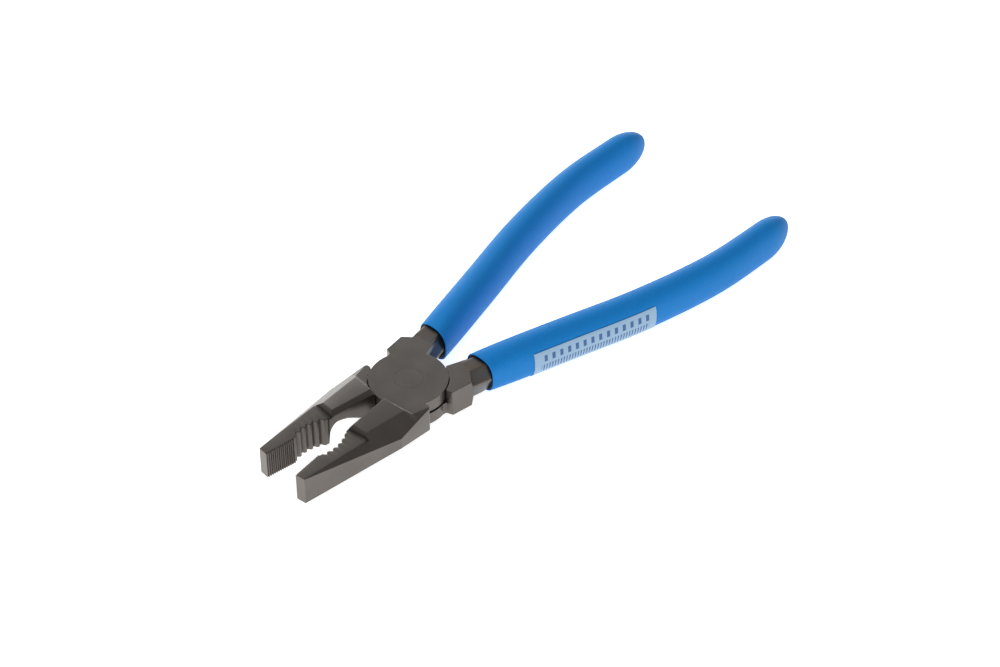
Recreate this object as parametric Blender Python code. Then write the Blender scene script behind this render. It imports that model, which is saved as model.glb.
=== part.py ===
"""Combination pliers, about 180 mm long, built as separate named solids.

Two forged steel halves cross at a lap joint and turn on a flush rivet; each handle
carries a dipped soft sleeve, and the lower sleeve carries a thin adhesive label.
Units are metres, +X runs along the tool to the jaw tips, +Z is up and the origin is on
the pivot axis at the flat underside of the joint. Each half is modelled closed, about its
own mid plane, and then turned about the pivot by half of the opening in the photo.
"""
import math

import bmesh
import bpy
import numpy as np
from mathutils import Vector

MM = 0.001

# Opening of the tool as photographed: each half is turned by this much from closed
HALF_OPENING = math.radians(6.6)

# Lap joint
DISC_RADIUS = 11.35 * MM
JOINT_HALF_THICKNESS = 4.3 * MM
LAP_GAP = 0.30 * MM
RIM_CLEARANCE = 0.50 * MM
RIVET_RADIUS = 4.1 * MM
RIVET_FIT = 0.20 * MM
RIVET_RUNNING_FIT = 0.30 * MM
HEAD_MARGIN = 1.15 * MM

# Jaw: where its heel stands and the lengths that follow one another from there to the tip
HEEL_X = 5.4 * MM
FLAT_LENGTH = 5.4 * MM
RAMP_LENGTH = 1.5 * MM
BLOCK_LENGTH_TO_KINK = 6.2 * MM
BLOCK_LENGTH_FROM_KINK = 7.2 * MM
STEP_LENGTH = 2.0 * MM
STEP_RUN = 1.3 * MM
GRIPPING_LENGTH = 21.7 * MM

# Jaw: heights above the mid plane and widths from the closed centre line
TIP_HALF_HEIGHT = 4.6 * MM
STEP_FOOT_HEIGHT = 4.9 * MM
BLOCK_OUTER_HEIGHT = 5.85 * MM
BLOCK_RIDGE_HEIGHT = 6.4 * MM
KINK_WALL_HEIGHT = 1.8 * MM
TIP_WIDTH = 3.45 * MM
STEP_FOOT_WIDTH = 7.3 * MM
BLOCK_END_WIDTH = 5.9 * MM
BLOCK_START_WIDTH = 8.55 * MM
FLAT_END_WIDTH = 10.35 * MM
BLOCK_CHAMFER_WIDTH = 1.15 * MM
BLOCK_CHAMFER_DROP = 1.35 * MM
UNDERSIDE_INSET = 1.0 * MM
EDGE_BREAK = 0.15 * MM

# Inner faces: side cutter, pipe grip teeth and fine serration
CUTTER_SETBACK = 0.25 * MM
TIP_SETBACK = 0.08 * MM
CUTTER_EDGE_DEPTH = 1.0 * MM
RELIEF_ARC_RADIUS = 14.0 * MM
RELIEF_ARC_TOP = 2.3 * MM
RELIEF_TOP_PAST_BLOCK = 0.5 * MM
RELIEF_SLOPE = 0.90
RELIEF_LAND = 0.4 * MM
TOOTH_PITCH = 2.04 * MM
TOOTH_COUNT = 5
TOOTH_DEPTH = 0.75 * MM
TOOTH_CREST = 0.50 * MM
TOOTH_LAND = 1.17 * MM
PIPE_GRIP_SETBACK = 0.70 * MM
PIPE_GRIP_DEPTH = 1.15 * MM
FINE_TOOTH_COUNT = 14
FINE_TOOTH_DEPTH = 0.28 * MM

# Shoulder block in plan, closed, as lengths behind and beside the pivot
SHOULDER_FRONT = 5.0 * MM
SHOULDER_MARGIN = 1.43 * MM
SHOULDER_CORNER_LENGTH = 0.9 * MM
SHOULDER_CORNER_WIDTH = 1.9 * MM
SHOULDER_LENGTH = 7.6 * MM
SHOULDER_TAIL = 6.75 * MM
SHOULDER_NECK_Y = 4.25 * MM
SHOULDER_ROOT_Y = 2.6 * MM
SHOULDER_ROOT_SINK = 3.0 * MM
SHOULDER_FLARE = 0.07 * MM
SHOULDER_HORN_SLANT = 1.4 * MM
SHOULDER_HORN_SINK = 0.7 * MM

# Handle centre line of one half, closed: where it starts in the shoulder, how far behind the
# pivot it reaches, and how far beside the axis it bows at its widest
HANDLE_START_X = 12.0 * MM
HANDLE_START_Y = 6.2 * MM
HANDLE_REACH = 131.6 * MM
HANDLE_BOW = 17.5 * MM
# Run of the bow: share of the way to the far end, and share of the bow that is reached there
HANDLE_CURVE = (
    (0.0, 0.0), (0.075, 0.106), (0.289, 0.469), (0.504, 0.841), (0.717, 1.0), (0.883, 0.867),
    (1.0, 0.681),
)

# Sleeve, with its mouth at a distance along the handle, and the bar inside it
GRIP_START = 8.1 * MM
GRIP_END_ROUND = 11.0 * MM
GRIP_HALF_WIDTH = 5.3 * MM
GRIP_END_HALF_WIDTH = 4.35 * MM
GRIP_HALF_HEIGHT = 6.7 * MM
GRIP_ROUNDNESS = 2.2
MOUTH_LENGTH = 17.0 * MM
MOUTH_HALF_WIDTH = 5.15 * MM
MOUTH_HALF_HEIGHT = 5.6 * MM
MOUTH_ROUNDNESS = 2.6
MOUTH_WALL = 0.40 * MM
MOUTH_WALL_TOP = 1.0 * MM
SLEEVE_WALL = 1.05 * MM
SLEEVE_WALL_TOP = 1.65 * MM
SLEEVE_FIT = 0.20 * MM
BAR_END_WALL = 2.5 * MM
NECK_HALF_WIDTH = 4.4 * MM
NECK_HALF_HEIGHT = 4.15 * MM
BAR_TOP_SHARE = 0.50
BAR_SIDE_SHARE = 0.04

# Label on the outer flank of one sleeve, by distance along the sleeve and by angle
LABEL_START = 14.8 * MM
LABEL_LENGTH = 40.8 * MM
LABEL_TOP_ANGLE = math.radians(29.0)
LABEL_LOW_ANGLE = math.radians(-62.0)
LABEL_THICKNESS = 0.15 * MM
LABEL_LIFT = 0.15 * MM

# Resolution
RIM_SEGMENTS = 96
RIVET_SEGMENTS = 48
RING = 32
BLOCK_ROWS = 6
STEP_ROWS = 5
PATH_ROWS = 40
END_ROWS = 10
LABEL_ROWS = 15
SMOOTH_ANGLE = math.radians(40)
FACET_ANGLE = math.radians(18)

# Faces, radii and stations that follow from the sizes above
LAP_FACE = LAP_GAP / 2
RIM_CUT_RADIUS = DISC_RADIUS + RIM_CLEARANCE
HEAD_HALF_WIDTH = DISC_RADIUS + HEAD_MARGIN
SHOULDER_HALF_WIDTH = DISC_RADIUS + SHOULDER_MARGIN
CUT_REACH = 2 * (JOINT_HALF_THICKNESS + BLOCK_RIDGE_HEIGHT)
FLAT_END_X = HEEL_X + FLAT_LENGTH
BLOCK_START_X = FLAT_END_X + RAMP_LENGTH
WALL_KINK_X = BLOCK_START_X + BLOCK_LENGTH_TO_KINK
BLOCK_END_X = WALL_KINK_X + BLOCK_LENGTH_FROM_KINK
STEP_END_X = BLOCK_END_X + STEP_LENGTH
TIP_X = STEP_END_X + GRIPPING_LENGTH
RELIEF_ARC_X = BLOCK_END_X + RELIEF_TOP_PAST_BLOCK
BAR_END_COVER = GRIP_END_ROUND + BAR_END_WALL


def clear_scene():
    """Remove every object that the scene starts with."""
    for old in list(bpy.data.objects):
        bpy.data.objects.remove(old, do_unlink=True)


def make_material(name, colour, roughness, metallic):
    """A Principled material with a plain colour."""
    material = bpy.data.materials.new(name)
    material.use_nodes = True
    shader = material.node_tree.nodes["Principled BSDF"]
    shader.inputs["Base Color"].default_value = (*colour, 1.0)
    shader.inputs["Roughness"].default_value = roughness
    shader.inputs["Metallic"].default_value = metallic
    return material


def make_object(name, verts, faces, material=None):
    """A mesh object with outward faces from vertices and faces."""
    mesh = bpy.data.meshes.new(name)
    mesh.from_pydata([tuple(v) for v in verts], [], faces)
    shape = bmesh.new()
    shape.from_mesh(mesh)
    bmesh.ops.recalc_face_normals(shape, faces=shape.faces)
    shape.to_mesh(mesh)
    shape.free()
    if material is not None:
        mesh.materials.append(material)
    thing = bpy.data.objects.new(name, mesh)
    bpy.context.collection.objects.link(thing)
    return thing


def skin(rings):
    """Vertices and faces of a closed skin over rings that have the same vertex count."""
    count = len(rings[0])
    verts = [tuple(p) for ring in rings for p in ring]
    faces = []
    for row in range(len(rings) - 1):
        here = row * count
        there = here + count
        for k in range(count):
            after = (k + 1) % count
            faces.append((here + k, here + after, there + after, there + k))
    faces.append(tuple(range(count)))
    faces.append(tuple(range(len(verts) - count, len(verts))))
    return verts, faces


def slab(name, outline, low, high):
    """A flat plate with this plan outline between two heights."""
    rings = [[(x, y, low) for x, y in outline], [(x, y, high) for x, y in outline]]
    return make_object(name, *skin(rings))


def circle(radius, segments):
    """Plan outline of a disc about the pivot."""
    turn = 2 * math.pi / segments
    return [(radius * math.cos(k * turn), radius * math.sin(k * turn)) for k in range(segments)]


def combine(body, tool, operation):
    """Apply one exact Boolean of a tool object on a body and remove the tool."""
    step = body.modifiers.new(operation.title(), "BOOLEAN")
    step.operation = operation
    step.solver = "EXACT"
    step.object = tool
    bpy.context.view_layer.objects.active = body
    bpy.ops.object.modifier_apply(modifier=step.name)
    bpy.data.objects.remove(tool, do_unlink=True)


def shade(thing, sharp_from):
    """Shade an object smooth, with the edges above an angle left sharp."""
    thing.data.shade_smooth()
    thing.data.set_sharp_from_angle(angle=sharp_from)


def between(x, x0, v0, x1, v1):
    """Straight line through two stations."""
    return v0 + (v1 - v0) * (x - x0) / (x1 - x0)


def relief_edge(x):
    """Height of the cutting edge: a ground arc that runs out level towards the joint."""
    reach = RELIEF_ARC_RADIUS ** 2 - (x - RELIEF_ARC_X) ** 2
    arc = RELIEF_ARC_TOP - RELIEF_ARC_RADIUS + math.sqrt(max(reach, 0.0))
    return max(arc, -CUTTER_EDGE_DEPTH)


def wall_width(x):
    """Outer wall of the jaw: straight from the tip to the kink, then level to the heel."""
    if x >= WALL_KINK_X:
        return between(x, WALL_KINK_X, HEAD_HALF_WIDTH, TIP_X, TIP_WIDTH)
    return HEAD_HALF_WIDTH


def wall_height(x):
    """Upper edge of the outer wall: low at the kink, full height at tip and heel."""
    if x >= WALL_KINK_X:
        return between(x, WALL_KINK_X, KINK_WALL_HEIGHT, TIP_X, TIP_HALF_HEIGHT - EDGE_BREAK)
    return between(x, HEEL_X, JOINT_HALF_THICKNESS - EDGE_BREAK, WALL_KINK_X, KINK_WALL_HEIGHT)


def jaw_section(x, setback, top):
    """Eight corners of the gripping section: setback of the teeth and height of the top."""
    wide = wall_width(x)
    high = wall_height(x)
    outer = between(x, STEP_END_X, STEP_FOOT_WIDTH, TIP_X, TIP_WIDTH - EDGE_BREAK)
    return [
        (setback, top - EDGE_BREAK), (setback + EDGE_BREAK, top), (outer, top), (wide, high),
        (wide, -high), (outer, -top), (setback + EDGE_BREAK, -top), (setback, EDGE_BREAK - top),
    ]


def block_section(x, fall):
    """Eight corners of the cutter block; fall runs from 0 on the block to 1 at the step foot."""
    wide = wall_width(x)
    high = wall_height(x)
    foot = TIP_HALF_HEIGHT
    drop = (BLOCK_RIDGE_HEIGHT - STEP_FOOT_HEIGHT) * fall
    drop_outer = (BLOCK_OUTER_HEIGHT - STEP_FOOT_HEIGHT) * fall
    on_block = between(x, BLOCK_START_X, BLOCK_START_WIDTH, BLOCK_END_X, BLOCK_END_WIDTH)
    outer = on_block + (STEP_FOOT_WIDTH - BLOCK_END_WIDTH) * fall
    chamfer = BLOCK_CHAMFER_DROP * (1 - fall) + EDGE_BREAK * fall
    chamfer_width = BLOCK_CHAMFER_WIDTH * (1 - fall) + EDGE_BREAK * fall
    under = between(x, BLOCK_START_X, FLAT_END_WIDTH - UNDERSIDE_INSET, TIP_X, TIP_WIDTH)
    edge = relief_edge(x)
    relief = min(CUTTER_SETBACK + RELIEF_SLOPE * (edge + foot), under - RELIEF_LAND)
    ridge = BLOCK_RIDGE_HEIGHT - drop
    return [
        (CUTTER_SETBACK, ridge - chamfer), (CUTTER_SETBACK + chamfer_width, ridge),
        (outer, BLOCK_OUTER_HEIGHT - drop_outer), (wide, high), (wide, -high), (under, -foot),
        (relief, -foot), (CUTTER_SETBACK, edge),
    ]


def flat_section(x):
    """Eight corners of the jaw root, flush with the ground faces of the joint."""
    top = JOINT_HALF_THICKNESS
    high = wall_height(x)
    near_wall = HEAD_HALF_WIDTH - EDGE_BREAK
    outer = between(x, HEEL_X, near_wall, FLAT_END_X, FLAT_END_WIDTH)
    inner = CUTTER_SETBACK + EDGE_BREAK
    return [
        (CUTTER_SETBACK, top - EDGE_BREAK), (inner, top), (outer, top), (HEAD_HALF_WIDTH, high),
        (HEAD_HALF_WIDTH, -high), (outer, -top), (inner, -top), (CUTTER_SETBACK, EDGE_BREAK - top),
    ]


def pipe_grip_setback(x):
    """Setback of the tooth crests: a shallow hollow, deepest half way along the teeth."""
    half_span = TOOTH_COUNT * TOOTH_PITCH / 2
    middle = STEP_END_X + TOOTH_LAND + half_span
    bow = 1 - ((x - middle) / half_span) ** 2
    return PIPE_GRIP_SETBACK + PIPE_GRIP_DEPTH * max(bow, 0.0)


def tooth_stations():
    """Stations and setbacks of the pipe grip teeth and the fine serration, root to tip."""
    rows = []
    for k in range(TOOTH_COUNT + 1):
        crest = STEP_END_X + TOOTH_LAND + k * TOOTH_PITCH
        crest_start = crest - TOOTH_CREST / 2 if k else STEP_END_X
        for x in (crest_start, crest + TOOTH_CREST / 2):
            rows.append((x, pipe_grip_setback(x)))
        if k < TOOTH_COUNT:
            x = crest + TOOTH_PITCH / 2
            rows.append((x, pipe_grip_setback(x) + TOOTH_DEPTH))
    fine_start = rows[-1][0] + TOOTH_CREST
    pitch = (TIP_X - fine_start) / (FINE_TOOTH_COUNT + 0.5)
    for k in range(FINE_TOOTH_COUNT):
        rows.append((fine_start + k * pitch, TIP_SETBACK + FINE_TOOTH_DEPTH))
        rows.append((fine_start + (k + 0.5) * pitch, TIP_SETBACK))
    rows.append((TIP_X, TIP_SETBACK + FINE_TOOTH_DEPTH / 2))
    return rows


def jaw(name, side):
    """One jaw from heel to tip; side is +1 for the jaw at +Y and -1 for its mirror."""
    rows = [(HEEL_X, flat_section(HEEL_X)), (FLAT_END_X, flat_section(FLAT_END_X))]
    to_kink = np.linspace(BLOCK_START_X, WALL_KINK_X, BLOCK_ROWS)
    from_kink = np.linspace(WALL_KINK_X, BLOCK_END_X, BLOCK_ROWS)[1:]
    for x in [*to_kink, *from_kink]:
        rows.append((x, block_section(x, 0.0)))
    for t in np.linspace(0.0, 1.0, STEP_ROWS)[1:]:
        x = BLOCK_END_X + STEP_RUN * t
        rows.append((x, block_section(x, (t + t ** 2) / 2)))
    for x, setback in tooth_stations():
        top = between(x, STEP_END_X, STEP_FOOT_HEIGHT, TIP_X, TIP_HALF_HEIGHT)
        rows.append((x, jaw_section(x, setback, top)))
    rings = [[(x, side * y, z) for y, z in section] for x, section in rows]
    return make_object(name, *skin(rings))


def handle_path():
    """Points of a smooth curve along the handle's bow, and the distance to each."""
    run, rise = np.array(HANDLE_CURVE).T
    behind = HANDLE_START_X + (HANDLE_REACH - HANDLE_START_X) * run
    knots = np.column_stack([-behind, HANDLE_START_Y + (HANDLE_BOW - HANDLE_START_Y) * rise])
    ends = np.vstack([2 * knots[0] - knots[1], knots, 2 * knots[-1] - knots[-2]])
    rows = []
    for k in range(1, len(ends) - 2):
        before, here, there, after = ends[k - 1:k + 3]
        t = np.linspace(0.0, 1.0, PATH_ROWS, endpoint=False)[:, None]
        rows.append(0.5 * (2 * here + (there - before) * t
                           + (2 * before - 5 * here + 4 * there - after) * t ** 2
                           + (3 * here - before - 3 * there + after) * t ** 3))
    rows.append(knots[-1:])
    dense = np.vstack(rows)
    return dense, np.r_[0.0, np.cumsum(np.linalg.norm(np.diff(dense, axis=0), axis=1))]


HANDLE_LINE, HANDLE_RUN = handle_path()
HANDLE_LENGTH = HANDLE_RUN[-1]


def on_handle(distance):
    """Point of the handle centre line at a distance along it."""
    return Vector([np.interp(distance, HANDLE_RUN, HANDLE_LINE[:, k]) for k in (0, 1)])


def handle_direction(distance):
    """Direction of the handle centre line at a distance along it, away from the pivot."""
    spacing = HANDLE_LENGTH / (len(HANDLE_RUN) - 1)
    return (on_handle(distance + spacing) - on_handle(distance - spacing)).normalized()


def dip_slope():
    """Lean of the sleeve mouths: both end at one dip line, square to the tool as photographed."""
    line = handle_direction(GRIP_START)
    return math.tan(math.atan2(line.y, -line.x) + HALF_OPENING)


def ring_at(distance, section, side):
    """Place a section, as offsets beside and above, on the handle; near the mouth it leans."""
    at = on_handle(distance)
    line = handle_direction(distance)
    lean = dip_slope() * max(0.0, 1 - abs(distance - GRIP_START) / MOUTH_LENGTH)
    across = Vector((line.y, -line.x)) + line * lean
    return [(at.x + u * across.x, side * (at.y + u * across.y), w) for u, w in section]


def oval(half_width, half_height, roundness, angles=None):
    """Soft oval section of the sleeve."""
    if angles is None:
        angles = [2 * math.pi * (k + 0.5) / RING for k in range(RING)]
    power = 2 / roundness
    points = []
    for a in angles:
        c = math.cos(a)
        s = math.sin(a)
        points.append((half_width * math.copysign(abs(c) ** power, c),
                       half_height * math.copysign(abs(s) ** power, s)))
    return points


def octagon(half_width, half_height):
    """Bevelled bar section with the same point count as the sleeve section."""
    top_w = half_width * BAR_TOP_SHARE
    side_h = half_height * BAR_SIDE_SHARE
    corners = [
        (half_width, -side_h), (half_width, side_h), (top_w, half_height), (-top_w, half_height),
        (-half_width, side_h), (-half_width, -side_h), (-top_w, -half_height), (top_w, -half_height),
    ]
    share = RING // 8
    points = []
    for k in range(8):
        a = corners[k]
        b = corners[(k + 1) % 8]
        for part in range(share):
            f = part / share
            points.append((a[0] + (b[0] - a[0]) * f, a[1] + (b[1] - a[1]) * f))
    start = share // 2
    return points[start:] + points[:start]


def mouth_share(distance):
    """How much of the mouth's own form is left: all at the mouth, easing to none inside."""
    inside = (distance - GRIP_START) / MOUTH_LENGTH
    return (1 - min(1.0, max(0.0, inside))) ** 2


def sleeve_size(distance):
    """Half width, half height and roundness of the sleeve at a distance along the handle."""
    run = (distance - GRIP_START) / (HANDLE_LENGTH - GRIP_START)
    width = GRIP_HALF_WIDTH + (GRIP_END_HALF_WIDTH - GRIP_HALF_WIDTH) * run ** 2
    mouth = mouth_share(distance)
    return (width + (MOUTH_HALF_WIDTH - GRIP_HALF_WIDTH) * mouth,
            GRIP_HALF_HEIGHT + (MOUTH_HALF_HEIGHT - GRIP_HALF_HEIGHT) * mouth,
            GRIP_ROUNDNESS + (MOUTH_ROUNDNESS - GRIP_ROUNDNESS) * mouth)


def bar_size(distance):
    """Half width and half height of the steel bar at a distance along the handle."""
    covered = max(distance, GRIP_START)
    width, height, _ = sleeve_size(covered)
    mouth = mouth_share(covered)
    wall = SLEEVE_WALL + (MOUTH_WALL - SLEEVE_WALL) * mouth
    wall_top = SLEEVE_WALL_TOP + (MOUTH_WALL_TOP - SLEEVE_WALL_TOP) * mouth
    inside = (width - wall - SLEEVE_FIT, height - wall_top - SLEEVE_FIT)
    if distance >= GRIP_START:
        return inside
    return (between(distance, 0.0, NECK_HALF_WIDTH, GRIP_START, inside[0]),
            between(distance, 0.0, NECK_HALF_HEIGHT, GRIP_START, inside[1]))


def bar(name, side):
    """Steel handle bar from inside the shoulder to near the end of the sleeve."""
    end = HANDLE_LENGTH - BAR_END_COVER
    stops = np.r_[np.linspace(0.0, GRIP_START, 5), np.linspace(GRIP_START, end, 19)[1:]]
    rings = [ring_at(s, octagon(*bar_size(s)), side) for s in stops]
    return make_object(name, *skin(rings))


def sleeve(name, side, material):
    """Dipped sleeve: rounded outside, blind bore that clears the bar by the sleeve fit."""
    round_start = HANDLE_LENGTH - GRIP_END_ROUND
    bore_end = HANDLE_LENGTH - BAR_END_COVER + SLEEVE_FIT
    rings = []
    for s in np.linspace(bore_end, GRIP_START, 20):
        width, height = bar_size(s)
        rings.append(ring_at(s, octagon(width + SLEEVE_FIT, height + SLEEVE_FIT), side))
    width, height, roundness = sleeve_size(GRIP_START)
    lip = oval(width - EDGE_BREAK, height - EDGE_BREAK, roundness)
    rings.append(ring_at(GRIP_START, lip, side))
    for s in np.linspace(GRIP_START + EDGE_BREAK, round_start, 34):
        rings.append(ring_at(s, oval(*sleeve_size(s)), side))
    for turn in np.linspace(0.0, math.pi / 2, END_ROWS + 1)[1:-1]:
        s = round_start + GRIP_END_ROUND * math.sin(turn)
        width, height, roundness = sleeve_size(s)
        dome = oval(width * math.cos(turn), height * math.cos(turn), roundness)
        rings.append(ring_at(s, dome, side))
    thing = make_object(name, *skin(rings), material)
    shade(thing, SMOOTH_ANGLE)
    return thing


def label(name, side, material):
    """Thin film that follows the outer flank of a sleeve."""
    rings = []
    angles = np.linspace(LABEL_LOW_ANGLE, LABEL_TOP_ANGLE, LABEL_ROWS)
    start = GRIP_START + LABEL_START
    for s in np.linspace(start, start + LABEL_LENGTH, LABEL_ROWS):
        width, height, roundness = sleeve_size(s)
        lifts = (LABEL_LIFT, LABEL_LIFT + LABEL_THICKNESS)
        under, over = [oval(width + lift, height + lift, roundness, angles) for lift in lifts]
        rings.append(ring_at(s, under + over[::-1], side))
    thing = make_object(name, *skin(rings), material)
    shade(thing, SMOOTH_ANGLE)
    return thing


def half(name, side, lap, bore_fit, material):
    """One forged half: jaw on one side, disc in its own layer, shoulder and bar on the other.

    side is the sign of Y on which the jaw lies; lap is +1 where the disc is the upper layer.
    """
    body = jaw(name, side)
    body.data.materials.append(material)
    full = JOINT_HALF_THICKNESS
    low, high = (LAP_FACE, full) if lap > 0 else (-full, -LAP_FACE)
    # Shoulder block, on the other side of the axis from the jaw
    on_rim = math.sqrt(DISC_RADIUS ** 2 - SHOULDER_ROOT_Y ** 2)
    front_width = SHOULDER_HALF_WIDTH - SHOULDER_FLARE
    block = [
        (-SHOULDER_FRONT, front_width - SHOULDER_CORNER_WIDTH),
        (-SHOULDER_FRONT - SHOULDER_CORNER_LENGTH, front_width),
        (-SHOULDER_FRONT - SHOULDER_LENGTH, SHOULDER_HALF_WIDTH + SHOULDER_FLARE),
        (-DISC_RADIUS - SHOULDER_TAIL, SHOULDER_NECK_Y),
        (-on_rim, SHOULDER_ROOT_Y),
        (SHOULDER_ROOT_SINK - on_rim, SHOULDER_ROOT_Y),
        (SHOULDER_HORN_SLANT - SHOULDER_FRONT, DISC_RADIUS - SHOULDER_HORN_SINK),
    ]
    shoulder = slab("shoulder", [(x, -side * y) for x, y in block], -full, full)
    combine(shoulder, bar("bar", -side), "UNION")
    combine(body, shoulder, "UNION")
    # Room for the other half's disc in the other layer, then this half's own disc
    room = (-CUT_REACH, LAP_FACE) if lap > 0 else (-LAP_FACE, CUT_REACH)
    combine(body, slab("room", circle(RIM_CUT_RADIUS, RIM_SEGMENTS), *room), "DIFFERENCE")
    combine(body, slab("disc", circle(DISC_RADIUS, RIM_SEGMENTS), low, high), "UNION")
    bore = circle(RIVET_RADIUS + bore_fit, RIVET_SEGMENTS)
    combine(body, slab("bore", bore, -CUT_REACH, CUT_REACH), "DIFFERENCE")
    shade(body, FACET_ANGLE)
    return body


def rivet(name, material):
    """Flush pivot rivet, held in the upper disc and running in the lower one."""
    tall = JOINT_HALF_THICKNESS
    thing = slab(name, circle(RIVET_RADIUS, RIVET_SEGMENTS), -tall, tall)
    thing.data.materials.append(material)
    shade(thing, SMOOTH_ANGLE)
    return thing


def main():
    """Build every piece and hang it from the pivot of its half."""
    clear_scene()
    steel = make_material("forged steel", (0.115, 0.102, 0.092), 0.42, 0.9)
    pin = make_material("rivet steel", (0.125, 0.112, 0.102), 0.38, 0.9)
    vinyl = make_material("dipped blue vinyl", (0.013, 0.156, 0.515), 0.55, 0.0)
    film = make_material("pale label film", (0.50, 0.62, 0.78), 0.35, 0.0)

    upper_pivot = bpy.data.objects.new("upper half pivot", None)
    lower_pivot = bpy.data.objects.new("lower half pivot", None)
    for pivot, turn in ((upper_pivot, HALF_OPENING), (lower_pivot, -HALF_OPENING)):
        pivot.location = (0.0, 0.0, JOINT_HALF_THICKNESS)
        pivot.rotation_euler = (0.0, 0.0, turn)
        bpy.context.collection.objects.link(pivot)

    upper = [
        half("upper_half", 1, 1, RIVET_FIT, steel),
        rivet("pivot_rivet", pin),
        sleeve("upper_half_grip", -1, vinyl),
    ]
    lower = [
        half("lower_half", -1, -1, RIVET_RUNNING_FIT, steel),
        sleeve("lower_half_grip", 1, vinyl),
        label("grip_label", 1, film),
    ]
    for pivot, pieces in ((upper_pivot, upper), (lower_pivot, lower)):
        for piece in pieces:
            piece.parent = pivot


if __name__ == "__main__":
    main()
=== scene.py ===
"""Combination pliers dressed for the studio: two forged halves, a flush rivet, dipped sleeves, a label.

Laid out as an add-on and run as a script. Every piece is a surface worked out with numpy in the frame
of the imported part: metres, +X to the jaw tips, +Z up, origin on the pivot axis under the joint. A half
is worked out closed and about its own mid plane, then turned by half of the opening and lifted.
"""
import math
from collections import namedtuple

import bmesh
import bpy
import numpy as np
from mathutils import Matrix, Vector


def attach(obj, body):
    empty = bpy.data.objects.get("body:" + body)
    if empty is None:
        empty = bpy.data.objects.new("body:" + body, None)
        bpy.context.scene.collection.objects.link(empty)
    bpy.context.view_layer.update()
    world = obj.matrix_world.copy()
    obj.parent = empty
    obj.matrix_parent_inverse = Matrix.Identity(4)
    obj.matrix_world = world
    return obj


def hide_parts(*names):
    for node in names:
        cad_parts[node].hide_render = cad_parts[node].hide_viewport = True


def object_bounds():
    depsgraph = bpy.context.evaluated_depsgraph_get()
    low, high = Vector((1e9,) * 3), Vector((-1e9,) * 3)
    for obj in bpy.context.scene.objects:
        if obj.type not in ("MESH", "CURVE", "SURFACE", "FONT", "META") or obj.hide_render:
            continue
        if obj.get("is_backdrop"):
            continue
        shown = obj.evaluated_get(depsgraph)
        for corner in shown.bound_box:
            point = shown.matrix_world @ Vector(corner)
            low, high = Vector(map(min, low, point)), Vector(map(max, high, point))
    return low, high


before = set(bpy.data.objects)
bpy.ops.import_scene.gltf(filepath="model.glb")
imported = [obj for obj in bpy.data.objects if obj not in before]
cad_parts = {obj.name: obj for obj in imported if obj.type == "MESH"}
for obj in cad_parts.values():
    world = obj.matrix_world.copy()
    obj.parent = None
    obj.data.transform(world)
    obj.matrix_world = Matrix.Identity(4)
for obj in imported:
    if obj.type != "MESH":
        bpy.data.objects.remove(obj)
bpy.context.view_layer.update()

bl_info = {
    "name": "Combination pliers",
    "version": (1, 0, 0),
    "blender": (4, 5, 0),
    "location": "View3D > Sidebar > Pliers",
    "description": "Builds a pair of combination pliers around its packed frame",
    "category": "Add Mesh",
}

MM = 0.001
UPPER = "upper_lever"
LOWER = "lower_lever"


def linear(code):
    """Linear colour of an sRGB hex code: each channel c gives ((c + 0.055) / 1.055) ** 2.4."""
    channels = np.array([int(code[k:k + 2], 16) for k in (1, 3, 5)]) / 255
    curve = np.where(channels > 0.04045, ((channels + 0.055) / 1.055) ** 2.4, channels / 12.92)
    return tuple(float(c) for c in curve)


def size(name, description, millimetres):
    """A length property with its default in millimetres."""
    return bpy.props.FloatProperty(name=name, description=description, default=millimetres * MM,
                                   unit="LENGTH", precision=5)


def share(name, description, value, unit="NONE"):
    """A plain number property, or one in another of Blender's units."""
    return bpy.props.FloatProperty(name=name, description=description, default=value, unit=unit)


def turn(name, description, degrees):
    """An angle property with its default in degrees."""
    return bpy.props.FloatProperty(name=name, description=description, default=math.radians(degrees),
                                   unit="ROTATION")


def count(name, description, value):
    """A whole number property."""
    return bpy.props.IntProperty(name=name, description=description, default=value, min=1)


def colour(name, description, code):
    """A colour property with its default as an sRGB hex code."""
    return bpy.props.FloatVectorProperty(name=name, description=description, default=linear(code),
                                         subtype="COLOR", size=3, min=0.0, max=1.0)


class JointSizes(bpy.types.PropertyGroup):
    """Sizes of the lap joint."""
    half_opening: turn("Half opening", "Turn of each half from closed", 6.6)
    half_thickness: size("Half thickness", "Mid plane to the ground faces", 4.3)
    disc_radius: size("Disc radius", "Radius of the round lap face", 11.43)
    lap_gap: size("Lap gap", "Gap between the lap faces, as it shows at the rim", 0.80)
    rim_clearance: size("Rim clearance", "Gap round the rim of a disc", 0.32)
    head_half_width: size("Head half width", "Centre line to the outer wall of the head", 12.5)
    rivet_radius: size("Rivet radius", "Radius of the flush rivet", 4.1)
    rivet_fit: size("Rivet fit", "Gap between rivet and bore", 0.02)
    edge: size("Edge rounding", "Radius of the ground edges", 0.11)


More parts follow.
